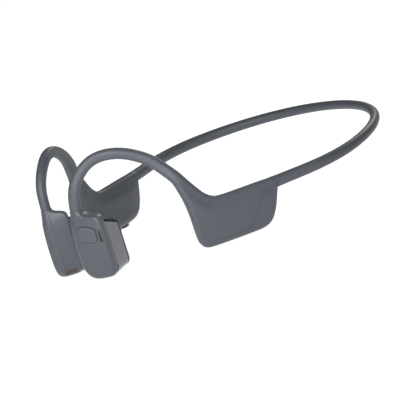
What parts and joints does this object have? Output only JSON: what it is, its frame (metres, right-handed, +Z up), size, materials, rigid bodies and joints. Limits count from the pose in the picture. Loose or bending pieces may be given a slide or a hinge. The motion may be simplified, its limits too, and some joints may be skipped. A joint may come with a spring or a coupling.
{
  "type": "bone conduction headphones",
  "caption": "Open-ear bone conduction headphones: a springy neckband, two ear hooks with control and battery modules, and a transducer unit for each cheekbone.",
  "frame": {"origin": "bottom centre of the object's box, on the plane that the modules and the speaker units stand on", "axes": "+X to the wearer's left, +Y from the speaker units back to the nape, +Z up"},
  "size_m": [0.1324, 0.1624, 0.0537],
  "materials": {
    "soft_skin": "matte soft-touch silicone, cool grey",
    "shell": "matte soft-touch coating, cool grey",
    "key": "matte key cap, cool grey",
    "gloss_trim": "polished dark blue-grey plastic",
    "pad": "black contact pad",
    "port_mesh": "fine dark woven mesh",
    "titanium": "drawn spring wire",
    "cable": "black cable sheath",
    "magnet": "nickel plated",
    "copper": "enamelled copper winding",
    "circuit": "green solder mask",
    "cell": "foil pouch",
    "inner_plastic": "black moulded plastic",
    "connector": "stamped steel",
    "light": "frosted light pipe"
  },
  "bodies": {
    "left_half": {"left_speaker_outer_shell": "shell", "left_speaker_rear_shell": "shell", "left_transducer_housing": "gloss_trim", "left_transducer_pad": "pad", "left_port_mesh": "port_mesh", "left_air_driver": "inner_plastic", "left_driver_magnet": "magnet", "left_voice_coil": "copper", "left_spring_plate": "magnet", "left_speaker_board": "circuit", "left_arm_casing": "soft_skin", "left_module_cover": "shell", "left_module_tray": "inner_plastic", "left_hook_wire": "titanium", "left_hook_cable": "cable", "left_neckband_sleeve": "soft_skin", "left_neckband_wire": "titanium", "left_neckband_cable": "cable", "button_switch": "inner_plastic", "microphone": "connector", "microphone_mesh": "port_mesh", "battery": "cell"},
    "right_half": {"right_speaker_outer_shell": "shell", "right_speaker_rear_shell": "shell", "right_transducer_housing": "gloss_trim", "right_transducer_pad": "pad", "right_port_mesh": "port_mesh", "right_air_driver": "inner_plastic", "right_driver_magnet": "magnet", "right_voice_coil": "copper", "right_spring_plate": "magnet", "right_speaker_board": "circuit", "right_arm_casing": "soft_skin", "right_module_cover": "shell", "right_module_tray": "inner_plastic", "right_hook_wire": "titanium", "right_hook_cable": "cable", "right_neckband_sleeve": "soft_skin", "right_neckband_wire": "titanium", "right_neckband_cable": "cable", "usb_c_port": "connector", "volume_up_switch": "inner_plastic", "volume_down_switch": "inner_plastic", "status_light": "light", "main_board": "circuit"},
    "multifunction_key": {"multifunction_button": "key"},
    "volume_up_key": {"volume_up_button": "key"},
    "volume_down_key": {"volume_down_button": "key"}
  },
  "joints": [
    {"name": "neckband_flex", "type": "hinge", "parent": "left_half", "child": "right_half", "pos_m": [0, 0.08116, 0.0217], "axis": [0, 0, -1], "range_deg": [0, 14], "stiffness_Nm_per_rad": 0.6},
    {"name": "multifunction_press", "type": "slide", "parent": "left_half", "child": "multifunction_key", "axis": [-0.5736, 0.8192, 0], "range_m": [0, 0.00035], "stiffness_N_per_m": 900},
    {"name": "volume_up_press", "type": "slide", "parent": "right_half", "child": "volume_up_key", "axis": [0, 0, 1], "range_m": [0, 0.0003], "stiffness_N_per_m": 900},
    {"name": "volume_down_press", "type": "slide", "parent": "right_half", "child": "volume_down_key", "axis": [0, 0, 1], "range_m": [0, 0.0003], "stiffness_N_per_m": 900}
  ]
}
